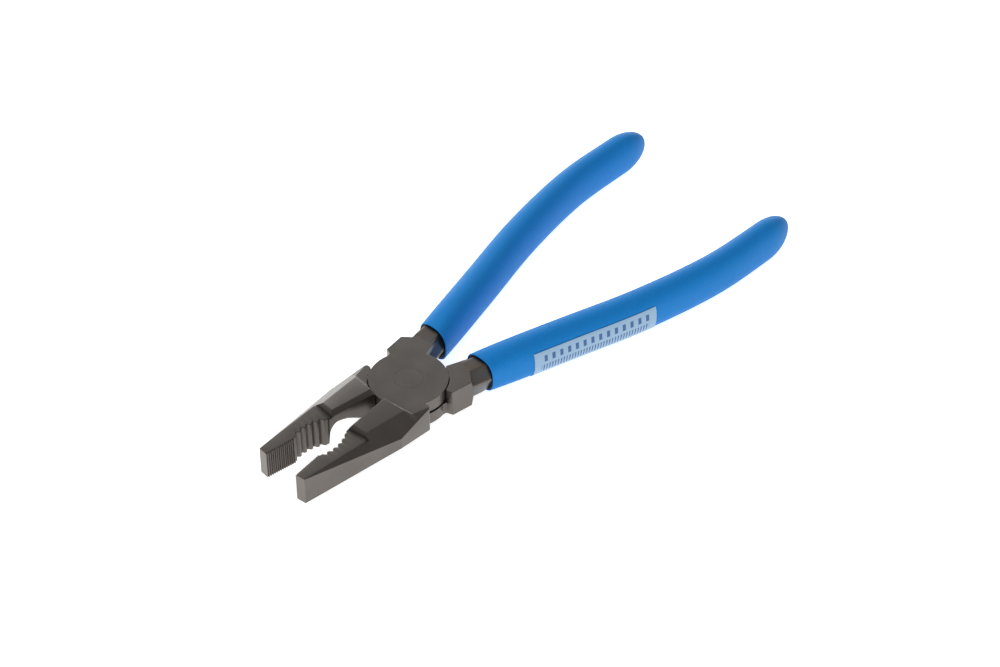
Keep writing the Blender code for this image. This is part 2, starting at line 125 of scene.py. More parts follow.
class JawSizes(bpy.types.PropertyGroup):
    """Stations, heights and widths of a jaw, closed."""
    heel_x: size("Heel", "Pivot to the heel of the jaw", 5.4)
    flat_length: size("Flat", "Length of the flat root", 5.4)
    ramp_length: size("Ramp", "Length of the ramp up to the block", 1.5)
    block_to_kink: size("Block to kink", "Length of the block before the kink of the wall", 6.2)
    block_from_kink: size("Block from kink", "Length of the block after the kink", 7.2)
    step_length: size("Step", "Block to the start of the gripping face", 2.0)
    step_run: size("Step run", "Length of the slope down the front of the block", 1.2)
    gripping_length: size("Gripping length", "Length of the gripping face", 21.7)
    tip_height: size("Tip half height", "Mid plane to the top of the tip", 4.6)
    step_height: size("Step foot height", "Mid plane to the foot of the step", 4.9)
    block_outer_height: size("Block outer height", "Mid plane to the block's outer edge", 5.85)
    block_ridge_height: size("Block ridge height", "Mid plane to the ridge of the block", 6.4)
    kink_wall_height: size("Kink wall height", "Half height of the wall at its kink", 1.8)
    tip_width: size("Tip width", "Width of one tip", 3.45)
    step_width: size("Step foot width", "Width at the foot of the step", 7.3)
    block_end_width: size("Block end width", "Width of the block top at its front", 5.9)
    block_start_width: size("Block start width", "Width of the block top at its back", 8.55)
    flat_end_width: size("Flat end width", "Width of the flat at the ramp", 10.35)
    chamfer_width: size("Chamfer width", "Width of the chamfer over the cutter", 1.15)
    chamfer_drop: size("Chamfer drop", "Height of the chamfer over the cutter", 1.35)
    underside_inset: size("Underside inset", "How far the underside stands in from the flat", 1.0)
    edge_break: size("Edge break", "Broken corner along the inner face", 0.15)
    heel_round: size("Heel rounding", "Plan radius of the heel's outer corner", 1.0)


class FaceSizes(bpy.types.PropertyGroup):
    """Cutter, teeth and serration on the inner face of a jaw."""
    cutter_setback: size("Cutter setback", "Closed centre line to the cutter face", 0.25)
    tip_setback: size("Tip setback", "Closed centre line to the serration", 0.08)
    edge_depth: size("Edge depth", "Depth of the cutting edge below the mid plane", 1.0)
    arc_radius: size("Relief radius", "Radius of the ground relief", 14.0)
    arc_top: size("Relief top", "Height of the top of the relief", 2.3)
    arc_past_block: size("Relief past block", "Top of the relief in front of the block", 0.5)
    fillet_length: size("Fillet length", "Length of the round corner at the end of the relief", 3.4)
    fillet_height: size("Fillet height", "Height of that round corner", 4.0)
    relief_slope: share("Relief slope", "Width of the relief for its height", 1.35)
    relief_land: size("Relief land", "Flat left beside the relief", 0.4)
    tooth_pitch: size("Tooth pitch", "Spacing of the pipe grip teeth", 2.04)
    tooth_count: count("Teeth", "Number of pipe grip teeth", 5)
    tooth_depth: size("Tooth depth", "Depth of the pipe grip teeth", 0.85)
    tooth_crest: size("Tooth crest", "Flat on a tooth", 0.5)
    tooth_land: size("Tooth land", "Flat from the step to the middle of the first crest", 1.17)
    grip_setback: size("Pipe grip setback", "Setback of the crests at the ends", 0.7)
    grip_depth: size("Pipe grip depth", "Extra setback half way along", 1.15)
    bridge: size("Bridge", "Slope from the last tooth to the fine teeth", 0.25)
    fine_count: count("Fine teeth", "Number of fine teeth at the tip", 14)
    fine_depth: size("Fine depth", "Depth of the fine teeth", 0.5)


class HandleSizes(bpy.types.PropertyGroup):
    """Shoulder, handle line, neck and sleeve."""
    shoulder_front: size("Shoulder front", "Pivot to the front of the shoulder", 5.0)
    shoulder_length: size("Shoulder length", "Length of the shoulder's outer side", 7.6)
    shoulder_tail: size("Shoulder tail", "Rim of the disc to the shoulder's inner corner", 6.75)
    shoulder_neck_y: size("Shoulder neck", "Axis to the shoulder's inner corner", 4.25)
    shoulder_root_y: size("Shoulder root", "Axis to the shoulder's root", 2.6)
    shoulder_sink: size("Shoulder sink", "How far the root sinks in the disc", 3.0)
    shoulder_flare: size("Shoulder flare", "Outward lean of the outer side", 0.07)
    shoulder_margin: size("Shoulder margin", "Rim of the disc to the shoulder's outer side", 1.35)
    corner_length: size("Corner length", "Broken front corner of the shoulder, along the tool", 0.9)
    corner_width: size("Corner width", "Broken front corner of the shoulder, across the tool", 1.9)
    shoulder_ridge: size("Shoulder ridge", "Forged parting line that stands out at the back", 0.9)
    shoulder_easing: size("Shoulder easing", "Rounding of the shoulder's corners in plan", 0.2)
    notch: size("Notch", "How far the shoulder's free layer stands back at the front", 0.35)
    horn_slant: size("Horn slant", "Forward lean of the front", 1.4)
    horn_sink: size("Horn sink", "Inner end of the front, inside the rim", 0.7)
    start_x: size("Handle start", "Pivot to the start of the handle line", 12.0)
    start_y: size("Handle start offset", "Axis to the start of the handle line", 6.2)
    reach: size("Handle reach", "Pivot to the end of the handle line", 131.6)
    bow: size("Handle bow", "Axis to the handle line at its widest", 17.5)
    mouth_start: size("Mouth distance", "Distance along the handle to the sleeve", 8.1)
    mouth_length: size("Mouth length", "Length over which the mouth flares", 17.0)
    mouth_half_width: size("Mouth half width", "Half width of the sleeve's mouth", 5.2)
    mouth_half_height: size("Mouth half height", "Half height of the sleeve's mouth", 5.7)
    mouth_roundness: share("Mouth roundness", "Power of the oval at the mouth", 2.6)
    mouth_wall: size("Mouth wall", "Side wall at the mouth", 0.42)
    mouth_wall_top: size("Mouth top wall", "Top wall at the mouth", 0.95)
    half_width: size("Sleeve half width", "Half width of the sleeve", 5.3)
    end_half_width: size("End half width", "Half width at the far end", 4.35)
    half_height: size("Sleeve half height", "Half height of the sleeve", 6.7)
    roundness: share("Sleeve roundness", "Power of the oval section", 2.2)
    end_round: size("End rounding", "Length of the domed end", 11.0)
    wall: size("Sleeve wall", "Side wall of the sleeve", 1.05)
    wall_top: size("Sleeve top wall", "Top wall of the sleeve", 1.65)
    fit: size("Sleeve fit", "Gap between sleeve and bar", 0.15)
    lip: size("Lip", "Rounding of the sleeve's mouth", 0.28)
    bar_end_wall: size("Bar end wall", "Sleeve past the end of the bar", 2.5)
    neck_half_width: size("Neck half width", "Half width of the bar in the shoulder", 4.5)
    neck_half_height: size("Neck half height", "Half height of the bar in the shoulder", 4.1)
    bar_top_share: share("Bar top share", "Width of the bar's top face", 0.50)
    neck_broad: share("Broad neck", "How much wider the outer corner is at the shoulder", 0.34)
    mouth_broad: share("Broad mouth", "How much wider the outer corner is at the mouth", 0.10)
    bar_side_share: share("Bar side share", "Height of the bar's side face", 0.04)
    label_start: size("Label start", "Mouth to the label", 14.8)
    label_length: size("Label length", "Length of the label", 40.8)
    label_top: turn("Label top", "Upper edge of the label round the sleeve", 29.0)
    label_low: turn("Label low", "Lower edge of the label round the sleeve", -62.0)
    label_lift: size("Label lift", "Film above the sleeve", 0.10)
    label_thickness: size("Label thickness", "Thickness of the film", 0.12)
    tick_pitch: size("Tick pitch", "Spacing of the ticks printed on the film", 0.95)
    dash_pitch: size("Dash pitch", "Spacing of the dashes printed on the film", 2.6)


class FinishColours(bpy.types.PropertyGroup):
    """Colours of the finishes and of the stage."""
    steel: colour("Steel", "Phosphated and oiled steel", "#75706b")
    steel_dark: colour("Dark steel", "Darker patches of the same finish", "#635e5a")
    # Painted shade: a near-black colour laid in the foot of the step, where the step shades the top of the
    # jaw
    scale: colour("Scale", "Black scale in the foot of the step", "#191817")
    heat_brown: colour("Heat brown", "Straw to brown heat colour of the neck", "#7a6a5a")
    heat_blue: colour("Heat blue", "Blue heat colour of the neck", "#6c7075")
    vinyl: colour("Vinyl", "Dipped blue vinyl", "#1c86d4")
    vinyl_deep: colour("Deep vinyl", "Thicker, deeper blue", "#1776c0")
    # Near-black navy laid over the bore and the inner edge of the lip, so that a thin dark line shows at the
    # mouth
    vinyl_in_bore: colour("Inner vinyl", "Dark inner layer at the mouth", "#0b1a33")
    film: colour("Film", "Pale label film", "#92b2cf")
    print_ink: colour("Print", "Bars printed on the film", "#2c5c92")
    floor: colour("Floor", "Pale floor", "#f6f6f6")


class StageSizes(bpy.types.PropertyGroup):
    """Camera, floor and light."""
    azimuth: turn("Azimuth", "Direction of the camera from +X to +Y", 45.018)
    elevation: turn("Elevation", "Height of the camera over the floor", 41.574)
    roll: turn("Roll", "Turn of the camera about its own axis", -0.859)
    camera_x: size("Camera X", "Place of the camera", 489.21)
    camera_y: size("Camera Y", "Place of the camera", 526.40)
    camera_z: size("Camera Z", "Place of the camera", 661.99)
    lens: share("Lens", "Focal length in millimetres on a 36 mm sensor", 123.83, "CAMERA")
    floor_half: size("Floor half size", "Half of the floor's side", 3000.0)
    floor_glow: share("Floor glow", "Light that the floor gives by itself", 0.75)
    near_sky: share("Near surround", "Strength of the surround on the camera's side", 0.22)
    far_sky: share("Far surround", "Strength of the surround behind the object", 0.52)
    backdrop: share("Backdrop", "Extra strength of the bright screen behind the object", 3.6)
    fill: share("Fill light", "Power of the weak light near the camera in watts", 11.0, "POWER")
    key: share("Key light", "Power of the large soft light in watts", 9.0, "POWER")


# Run of the handle's bow: share of the way to the far end, and share of the bow reached there
HANDLE_CURVE = (
    (0.0, 0.0), (0.075, 0.106), (0.289, 0.469), (0.504, 0.841), (0.717, 1.0), (0.883, 0.867),
    (1.0, 0.681),
)

# Places along a jaw where its section changes
Stations = namedtuple("Stations", "flat_end block kink block_end step_end tip")

# Resolution of the surfaces
STATION = 0.05 * MM
CORNER_STEPS = 4
SHOULDER_STEPS = 6
RING = 128
PATH_ROWS = 40
RIM_SEGMENTS = 192
RIVET_SEGMENTS = 96
NECK_ROWS = 12
BAR_ROWS = 40
FLANK_ROWS = 160
DOME_ROWS = 17
LABEL_ROWS = 80
LABEL_COLUMNS = 48
FLOOR_POINTS = 3

# Shortest edge that is divided by, and the most of an edge that one rounded corner takes
NO_LENGTH = 1e-9
CORNER_SHARE = 0.45
# Power of the bar's eight-sided section: a higher one has crisper corners
BAR_HARDNESS = 90.0
# Edge radius of the bodies that are only cut away
CUT_EDGE = 0.01 * MM
# Angles from which an edge stays sharp
FORGED_SHARP = math.radians(32)
RIVET_SHARP = math.radians(40)
SOFT_SHARP = math.radians(50)

# Sockets of a Mix node for colours: the two that are mixed, and what comes out
MIX_A, MIX_B, MIX_OUT = 6, 7, 2

# Sizes of the patterns in the finishes, in millimetres
OIL_PATCHES = 7.0
RIVET_PATCHES = 5.0
STEEL_GRAIN = 0.35
GRINDING_LINES = 0.45
HEAT_SPOTS = 3.5
VINYL_RUNS = 14.0
VINYL_SKIN = 0.6
FILM_WAVES = 4.0
PAPER_FIBRE = 2.0

# Roughness of the finishes, from their smoothest to their dullest places
STEEL_GLOSS = (0.26, 0.38)
VINYL_GLOSS = (0.42, 0.60)
FILM_GLOSS = (0.25, 0.40)
PAPER_ROUGHNESS = 0.9
# Bump of the finishes: strength, and depth in millimetres
STEEL_BUMP = (0.12, 0.05)
VINYL_BUMP = (0.30, 0.06)
FILM_BUMP = (0.10, 0.10)
PAPER_BUMP = 0.02

STEEL_METALLIC = 0.9
# Stretch of the grinding lines along the tool, and their turn from its axis
LINE_STRETCH = (0.06, 1.0, 0.6)
LINE_TURN = math.radians(20)
# Heat colours: where they begin and are full behind the pivot, their share, and their mixing
HEAT_START = 12.5 * MM
HEAT_FULL = 17.0 * MM
HEAT_SHARE = 0.55
HEAT_MIXING = (0.35, 0.65)
# Painted shade in the foot of the step: its reach up the step, along the jaw and down the sides, and its
# share
STEP_SHADE_UP = 0.6 * MM
STEP_SHADE_ALONG = 1.6 * MM
STEP_SHADE_DOWN = 0.3 * MM
STEP_SHADE_SHARE = 0.7
VINYL_IOR = 1.52
VINYL_SPECULAR = 0.14

# Rows of plain marks on the film: place across it, half height, half of the pitch that is filled
TICK_ROW = (0.47, 0.13, 0.22)
DASH_ROW = (0.77, 0.09, 0.20)
# Marks reach this far from the middle, as a share of the film's length
MARKS_HALF = 0.44

# Sides and places of the two lights, and the distances over which the floor's glow fades, in metres
KEY_SIDE = 0.7
KEY_PLACE = (0.125, -1.06, 0.65)
FILL_SIDE = 1.4
FILL_PLACE = (0.9, 0.75, 0.9)
GLOW_FADE = (0.32, 0.90)
# Fades of the surround and of the bright screen: cosine of the angle from straight behind the object
SURROUND_FADE = (-0.2, 0.7)
SCREEN_FADE = (0.86, 0.97)
WHITE = (1.0, 1.0, 1.0, 1.0)
SENSOR_WIDTH = 36.0
NEAREST = 0.01


def chosen(group):
    """Property group of this name on the scene, with the sizes or colours chosen there."""
    return getattr(bpy.context.scene, group)


def mesh_object(name, verts, faces):
    """Object at the origin from an array of vertices and a list of faces, with outward normals."""
    mesh = bpy.data.meshes.new(name)
    mesh.from_pydata(verts.tolist(), [], faces)
    shape = bmesh.new()
    shape.from_mesh(mesh)
    bmesh.ops.recalc_face_normals(shape, faces=shape.faces)
    shape.to_mesh(mesh)
    shape.free()
    thing = bpy.data.objects.new(name, mesh)
    bpy.context.collection.objects.link(thing)
    return thing


def closed_skin(rings):
    """Vertices and faces over rings [rows, ring, 3]: quads between rows and one face on each end."""
    rows, ring = rings.shape[:2]
    index = np.arange(rows * ring).reshape(rows, ring)
    after = np.roll(index, -1, axis=1)
    quads = np.stack([index[:-1], after[:-1], after[1:], index[1:]], axis=-1).reshape(-1, 4)
    faces = quads.tolist()
    faces.append(index[0].tolist())
    faces.append(index[-1].tolist())
    return rings.reshape(-1, 3), faces


def rounded(corners, radius, steps=CORNER_STEPS):
    """Rings [..., n, 2] with each corner P eased: P + (1 - t)^2 back + t^2 ahead, t from 0 to 1.

    back and ahead point along the two edges by the radius, or by less where an edge is short.
    """
    back = np.roll(corners, 1, axis=-2) - corners
    ahead = np.roll(corners, -1, axis=-2) - corners
    back_length = np.maximum(np.linalg.norm(back, axis=-1, keepdims=True), NO_LENGTH)
    ahead_length = np.maximum(np.linalg.norm(ahead, axis=-1, keepdims=True), NO_LENGTH)
    back = back / back_length * np.minimum(radius, CORNER_SHARE * back_length)
    ahead = ahead / ahead_length * np.minimum(radius, CORNER_SHARE * ahead_length)
    t = np.linspace(0.0, 1.0, steps)[:, None]
    eased = corners[..., None, :] + (1 - t) ** 2 * back[..., None, :] + t ** 2 * ahead[..., None, :]
    return eased.reshape(*corners.shape[:-2], -1, 2)


def inset(outline, amount):
    """Outline [n, 2] moved inwards along the mean normal of the two edges at each point."""
    edge = np.roll(outline, -1, axis=0) - outline
    normal = np.column_stack([edge[:, 1], -edge[:, 0]])
    normal /= np.linalg.norm(normal, axis=1, keepdims=True)
    mean = normal + np.roll(normal, 1, axis=0)
    mean /= np.linalg.norm(mean, axis=1, keepdims=True)
    area = np.sum(outline[:, 0] * np.roll(outline[:, 1], -1) - np.roll(outline[:, 0], -1) * outline[:, 1])
    return outline - np.sign(area) * amount * mean


def edge_rows(low, high, edge):
    """Heights of a plate's rows, and how far each stands in: a quarter round, the middle, another."""
    phase = np.linspace(0.0, math.pi / 2, CORNER_STEPS)
    drop = edge * (1 - np.sin(phase))
    rise = edge * (1 - np.cos(phase))
    return np.r_[low + rise, (low + high) / 2, high - rise[::-1]], np.r_[drop, 0.0, drop[::-1]]


def layered(name, outlines, heights, drops):
    """Closed skin over plan outlines, one for each height, each moved in by its drop."""
    rings = [np.column_stack([inset(o, d), np.full(len(o), h)])
             for o, h, d in zip(outlines, heights, drops)]
    return mesh_object(name, *closed_skin(np.stack(rings)))


def plate(name, outline, low, high, edge):
    """Flat plate with a quarter round of this edge radius carried along its outline, above and below."""
    heights, drops = edge_rows(low, high, edge)
    return layered(name, [outline] * len(heights), heights, drops)


def ring_of(radius, segments=RIM_SEGMENTS):
    """Circle about the pivot in plan."""
    angle = np.linspace(0.0, 2 * math.pi, segments, endpoint=False)
    return radius * np.column_stack([np.cos(angle), np.sin(angle)])


def combine(body, tool, operation):
    """Apply one Boolean of a tool object on a body, both closed, and remove the tool."""
    step = body.modifiers.new(operation.title(), "BOOLEAN")
    step.operation = operation
    step.solver = "MANIFOLD"
    step.object = tool
    bpy.context.view_layer.objects.active = body
    bpy.ops.object.modifier_apply(modifier=step.name)
    bpy.data.objects.remove(tool, do_unlink=True)


def place_half(thing, direction):
    """Turn a closed half's mesh about the pivot by the half opening and lift it to the joint's middle."""
    joint = chosen("plier_joint")
    lift = Matrix.Translation((0.0, 0.0, joint.half_thickness))
    thing.data.transform(lift @ Matrix.Rotation(direction * joint.half_opening, 4, "Z"))


def smooth_shading(thing, sharp_from):
    """Smooth shading with edges kept sharp from an angle."""
    thing.data.shade_smooth()
    thing.data.set_sharp_from_angle(angle=sharp_from)


def ground_shading(thing, sharp_from):
    """Smooth shading with sharp edges, and normals weighted by face area, so that flats look flat."""
    smooth_shading(thing, sharp_from)
    weighted = thing.modifiers.new("Weighted normals", "WEIGHTED_NORMAL")
    weighted.keep_sharp = True


def line(x, x0, v0, x1, v1):
    """Straight line through two stations, for whole arrays."""
    return v0 + (v1 - v0) * (x - x0) / (x1 - x0)


def stations(jaw):
    """Named stations along the jaw, from the lengths that follow one another."""
    flat_end = jaw.heel_x + jaw.flat_length
    block = flat_end + jaw.ramp_length
    kink = block + jaw.block_to_kink
    block_end = kink + jaw.block_from_kink
    step_end = block_end + jaw.step_length
    return Stations(flat_end, block, kink, block_end, step_end, step_end + jaw.gripping_length)


def tooth_setback(x, jaw, face):
    """Setback of the inner face: triangle teeth on a shallow hollow, then fine triangles to the tip.

    A tooth falls from its crest to the root half a pitch on; the hollow is a parabola over the teeth.
    """
    *_, step_end, tip = stations(jaw)
    first = step_end + face.tooth_land
    half_span = face.tooth_count * face.tooth_pitch / 2
    hollow = np.maximum(1 - ((x - first - half_span) / half_span) ** 2, 0.0)
    crests = face.grip_setback + face.grip_depth * hollow
    phase = np.abs((x - first + face.tooth_pitch / 2) % face.tooth_pitch - face.tooth_pitch / 2)
    phase = np.where(x < first, 0.0, phase)
    ramp = (phase - face.tooth_crest / 2) / (face.tooth_pitch / 2 - face.tooth_crest / 2)
    coarse = crests + face.tooth_depth * np.clip(ramp, 0.0, 1.0)
    last = first + 2 * half_span + face.tooth_crest / 2
    fine_start = last + face.bridge
    pitch = (tip - fine_start) / (face.fine_count + 0.5)
    wave = np.abs(2 * (((x - fine_start) / pitch) % 1.0) - 1)
    fine = face.tip_setback + face.fine_depth * wave
    bridge = line(x, last, face.grip_setback, fine_start, face.tip_setback + face.fine_depth)
    return np.where(x < last, coarse, np.where(x < fine_start, bridge, fine))


def corner_array(pairs):
    """Corners given as pairs of arrays or numbers, as one array [stations, corners, 2]."""
    values = np.broadcast_arrays(*(value for pair in pairs for value in pair))
    return np.stack(values, axis=-1).reshape(-1, len(pairs), 2)


def jaw_corners(x, joint, jaw, face):
    """Eight corners of the jaw's section at each station, from heel to tip, as [stations, 8, 2].

    The root is a plain block flush with the joint; the ramp runs straight to the cutter block; the
    step falls ever more steeply to its foot; the gripping part tapers straight to the tip. The relief
    under the cutter is an arc of a circle down to the cutting edge, and a quarter oval ends it.
    """
    flat_end, block, kink, block_end, step_end, tip = stations(jaw)
    e = jaw.edge_break
    head = joint.head_half_width
    short = np.maximum(jaw.heel_round + jaw.heel_x - x, 0.0)
    soft = jaw.heel_round - np.sqrt(jaw.heel_round ** 2 - np.minimum(short, jaw.heel_round) ** 2)
    wide = np.where(x >= kink, line(x, kink, head, tip, jaw.tip_width), head) - soft
    high = np.where(x >= kink, line(x, kink, jaw.kink_wall_height, tip, jaw.tip_height - e),
                    line(x, jaw.heel_x, joint.half_thickness - e, kink, jaw.kink_wall_height))

    def root(at):
        top = joint.half_thickness
        outer = line(at, jaw.heel_x, head - e, flat_end, jaw.flat_end_width) - soft
        inner = face.cutter_setback
        return corner_array([
            (inner, top - e), (inner + e, top), (outer, top), (wide, high), (wide, -high),
            (outer, -top), (inner + e, -top), (inner, e - top)])

    def cutter(at):
        t = np.clip((at - block_end) / jaw.step_run, 0.0, 1.0)
        fall = (t + t ** 2) / 2
        on_block = line(at, block, jaw.block_start_width, block_end, jaw.block_end_width)
        outer = on_block + (jaw.step_width - jaw.block_end_width) * fall
        ridge = jaw.block_ridge_height - (jaw.block_ridge_height - jaw.step_height) * fall
        shelf = jaw.block_outer_height - (jaw.block_outer_height - jaw.step_height) * fall
        drop = jaw.chamfer_drop * (1 - fall) + e * fall
        bevel = jaw.chamfer_width * (1 - fall) + e * fall
        under = line(at, block, jaw.flat_end_width - jaw.underside_inset, tip, jaw.tip_width)
        reach = face.arc_radius ** 2 - (at - block_end - face.arc_past_block) ** 2
        arc = face.arc_top - face.arc_radius + np.sqrt(np.maximum(reach, 0.0))
        into = np.clip(1 + (at - step_end) / face.fillet_length, 0.0, 1.0)
        fillet = face.fillet_height * (1 - np.sqrt(1 - into ** 2))
        edge = np.maximum(arc, -face.edge_depth) - fillet
        foot = jaw.tip_height
        relief = np.minimum(face.cutter_setback + face.relief_slope * (edge + foot),
                            under - face.relief_land)
        return corner_array([
            (face.cutter_setback, ridge - drop), (face.cutter_setback + bevel, ridge), (outer, shelf),
            (wide, high), (wide, -high), (under, -foot), (relief, -foot), (face.cutter_setback, edge)])

    top = line(x, step_end, jaw.step_height, tip, jaw.tip_height)
    outer = line(x, step_end, jaw.step_width, tip, jaw.tip_width - e)
    setback = tooth_setback(x, jaw, face)
    gripping = corner_array([
        (setback, top - e), (setback + e, top), (outer, top), (wide, high), (wide, -high),
        (outer, -top), (setback + e, -top), (setback, e - top)])
    up_ramp = np.clip((x - flat_end) / jaw.ramp_length, 0.0, 1.0)[:, None, None]
    ramp = root(np.minimum(x, flat_end)) * (1 - up_ramp) + cutter(np.maximum(x, block)) * up_ramp
    return np.where((x < step_end)[:, None, None], ramp, gripping)


def eased_along(values, reach):
    """Running mean of an array [stations, ...] over a few stations, which rounds its kinks."""
    padded = np.concatenate([values[:1].repeat(reach, 0), values, values[-1:].repeat(reach, 0)])
    window = [padded[k:k + len(values)] for k in range(2 * reach + 1)]
    return np.mean(window, axis=0)


def jaw_skin(name, side, joint, jaw, face):
    """One jaw: eased sections from heel to tip, closed by a tip that rounds off by the edge radius."""
    *_, step_end, tip = stations(jaw)
    edge = joint.edge
    x = np.linspace(jaw.heel_x, tip - edge, round((tip - edge - jaw.heel_x) / STATION))
    corners = jaw_corners(x, joint, jaw, face)
    crisp = (x > step_end)[:, None, None]
    section = rounded(np.where(crisp, corners, eased_along(corners, 1)), edge)
    phase = np.linspace(0.0, math.pi / 2, CORNER_STEPS + 1)[1:]
    middle = (section[-1].max(0) + section[-1].min(0)) / 2
    half = (section[-1].max(0) - section[-1].min(0)) / 2
    shrink = 1 - edge * (1 - np.cos(phase))[:, None, None] / half
    nose = middle + (section[-1] - middle) * shrink
    sections = np.concatenate([section, nose])
    along = np.r_[x, x[-1] + edge * np.sin(phase)]
    rings = np.empty((*sections.shape[:2], 3))
    rings[..., 0] = along[:, None]
    rings[..., 1] = side * sections[..., 0]
    rings[..., 2] = sections[..., 1]
    return mesh_object(name, *closed_skin(rings))


def handle_line(handle):
    """Points and run of a Catmull-Rom curve through the knots of the handle's bow."""
    run, rise = np.array(HANDLE_CURVE).T
    behind = handle.start_x + (handle.reach - handle.start_x) * run
    knots = np.column_stack([-behind, handle.start_y + (handle.bow - handle.start_y) * rise])
    ends = np.vstack([2 * knots[0] - knots[1], knots, 2 * knots[-1] - knots[-2]])
    before, here, there, after = (ends[k:k + len(knots) - 1, None] for k in range(4))
    t = np.linspace(0.0, 1.0, PATH_ROWS, endpoint=False)[:, None]
    curve = 0.5 * (2 * here + (there - before) * t
                   + (2 * before - 5 * here + 4 * there - after) * t ** 2
                   + (3 * here - before - 3 * there + after) * t ** 3)
    points = np.vstack([curve.reshape(-1, 2), knots[-1:]])
    return points, np.r_[0.0, np.cumsum(np.linalg.norm(np.diff(points, axis=0), axis=1))]


def handle_length(handle):
    """Length of the handle line."""
    return handle_line(handle)[1][-1]


def on_line(distance, points, run):
    """Points of the handle line at these distances along it."""
    return np.column_stack([np.interp(distance, run, points[:, k]) for k in (0, 1)])


def direction_at(distance, points, run):
    """Unit direction of the handle line, away from the pivot, from points half a step either side."""
    half = run[-1] / len(run)
    ahead = on_line(np.minimum(distance + half, run[-1]), points, run)
    step = ahead - on_line(np.maximum(distance - half, 0.0), points, run)
    return step / np.linalg.norm(step, axis=1, keepdims=True)


def along_handle(distance, beside, above, side, handle, joint):
    """Sections [rows, ring] of offsets beside and above, set on the handle line at distances [rows].

    Near the mouth each section leans, so that the mouth is square to the tool's axis as it rests.
    """
    points, run = handle_line(handle)
    at = on_line(distance, points, run)
    way = direction_at(distance, points, run)
    mouth_way = direction_at(np.array([handle.mouth_start]), points, run)[0]
    slope = math.tan(math.atan2(mouth_way[1], -mouth_way[0]) + joint.half_opening)
    lean = slope * np.maximum(0.0, 1 - np.abs(distance - handle.mouth_start) / handle.mouth_length)
    across = np.column_stack([way[:, 1], -way[:, 0]]) + lean[:, None] * way
    plan = at[:, None] + beside[..., None] * across[:, None]
    return np.stack([plan[..., 0], side * plan[..., 1], np.broadcast_to(above, beside.shape)], axis=-1)


def mouth_share(distance, handle):
    """How much of the mouth's own form is left: all at the mouth, easing to none inside."""
    inside = np.clip((distance - handle.mouth_start) / handle.mouth_length, 0.0, 1.0)
    return (1 - inside) ** 2


def sleeve_size(distance, handle):
    """Half width, half height and roundness of the sleeve at distances along the handle."""
    length = handle_length(handle)
    run = (distance - handle.mouth_start) / (length - handle.mouth_start)
    mouth = mouth_share(distance, handle)
    width = handle.half_width + (handle.end_half_width - handle.half_width) * run ** 2
    width = width + (handle.mouth_half_width - handle.half_width) * mouth
    height = handle.half_height + (handle.mouth_half_height - handle.half_height) * mouth
    return width, height, handle.roundness + (handle.mouth_roundness - handle.roundness) * mouth


def bar_size(distance, handle):
    """Half width and half height of the steel bar: the sleeve less its wall, or the neck before it."""
    covered = np.maximum(distance, handle.mouth_start)
    width, height, _ = sleeve_size(covered, handle)
    mouth = mouth_share(covered, handle)
    width = width - handle.wall - (handle.mouth_wall - handle.wall) * mouth - handle.fit
    height = height - handle.wall_top - (handle.mouth_wall_top - handle.wall_top) * mouth - handle.fit
    neck = np.clip(distance / handle.mouth_start, 0.0, 1.0)
    return (handle.neck_half_width + (width - handle.neck_half_width) * neck,
            handle.neck_half_height + (height - handle.neck_half_height) * neck)


def oval(half_width, half_height, roundness, angle):
    """Soft oval [rows, ring]: half width by |cos|^(2/n) and half height by |sin|^(2/n)."""
    c = np.cos(angle)
    s = np.sin(angle)
    power = (2 / roundness)[:, None]
    return (half_width[:, None] * np.sign(c) * np.abs(c) ** power,
            half_height[:, None] * np.sign(s) * np.abs(s) ** power)


def broad_share(distance, handle):
    """Extra share of the outer corner: down by the square to the mouth, then evenly to nothing."""
    along = distance / handle.mouth_start
    neck = handle.neck_broad + (handle.mouth_broad - handle.neck_broad) * along ** 2
    inside = handle.mouth_broad * np.clip(2 - along, 0.0, 1.0)
    return np.where(distance < handle.mouth_start, neck, inside)


def bar_ring(half_width, half_height, handle, angle, broad, lap):
    """Eight-sided section [rows, ring] with eased corners, as a polar curve.

    Its radius is the p-norm of the eight sides: sum of (cos(angle - side) / distance)^p, to the -1/p.
    The outer corner on the side of the half's own disc lies further out by the share broad, because
    both halves come from one die and the second is turned over.
    """
    top = half_width * (handle.bar_top_share + np.outer((0.0, 1.0), broad))
    flank = half_height * handle.bar_side_share
    slants = np.arctan2(half_width - top, half_height - flank)
    reaches = half_width * np.cos(slants) + flank * np.sin(slants)
    slant, reach = slants[0], reaches[0]
    upper, lower = (1, 0) if lap > 0 else (0, 1)
    quarter = math.pi / 2
    ways = np.stack(np.broadcast_arrays(
        0.0, slants[upper], quarter, 2 * quarter - slant, 2 * quarter, 2 * quarter + slant, 3 * quarter,
        -slants[lower]), axis=-1)
    gaps = np.stack([half_width, reaches[upper], half_height, reach, half_width, reach, half_height,
                     reaches[lower]], axis=-1)
    facing = np.maximum(np.cos(angle[None, :, None] - ways[:, None, :]), 0.0)
    radius = np.sum((facing / gaps[:, None, :]) ** BAR_HARDNESS, axis=-1) ** (-1 / BAR_HARDNESS)
    return radius * np.cos(angle), radius * np.sin(angle)


def ring_angles():
    """Angles round a section, starting on the outer side."""
    return np.linspace(0.0, 2 * math.pi, RING, endpoint=False)


def bar_skin(name, side, lap, handle, joint):
    """Handle bar from inside the shoulder to near the end of the sleeve."""
    end = handle_length(handle) - handle.end_round - handle.bar_end_wall
    mouth = handle.mouth_start
    distance = np.r_[np.linspace(0.0, mouth, NECK_ROWS), np.linspace(mouth, end, BAR_ROWS)[1:]]
    broad = broad_share(distance, handle)
    beside, above = bar_ring(*bar_size(distance, handle), handle, ring_angles(), broad, lap)
    return mesh_object(name, *closed_skin(along_handle(distance, beside, above, side, handle, joint)))


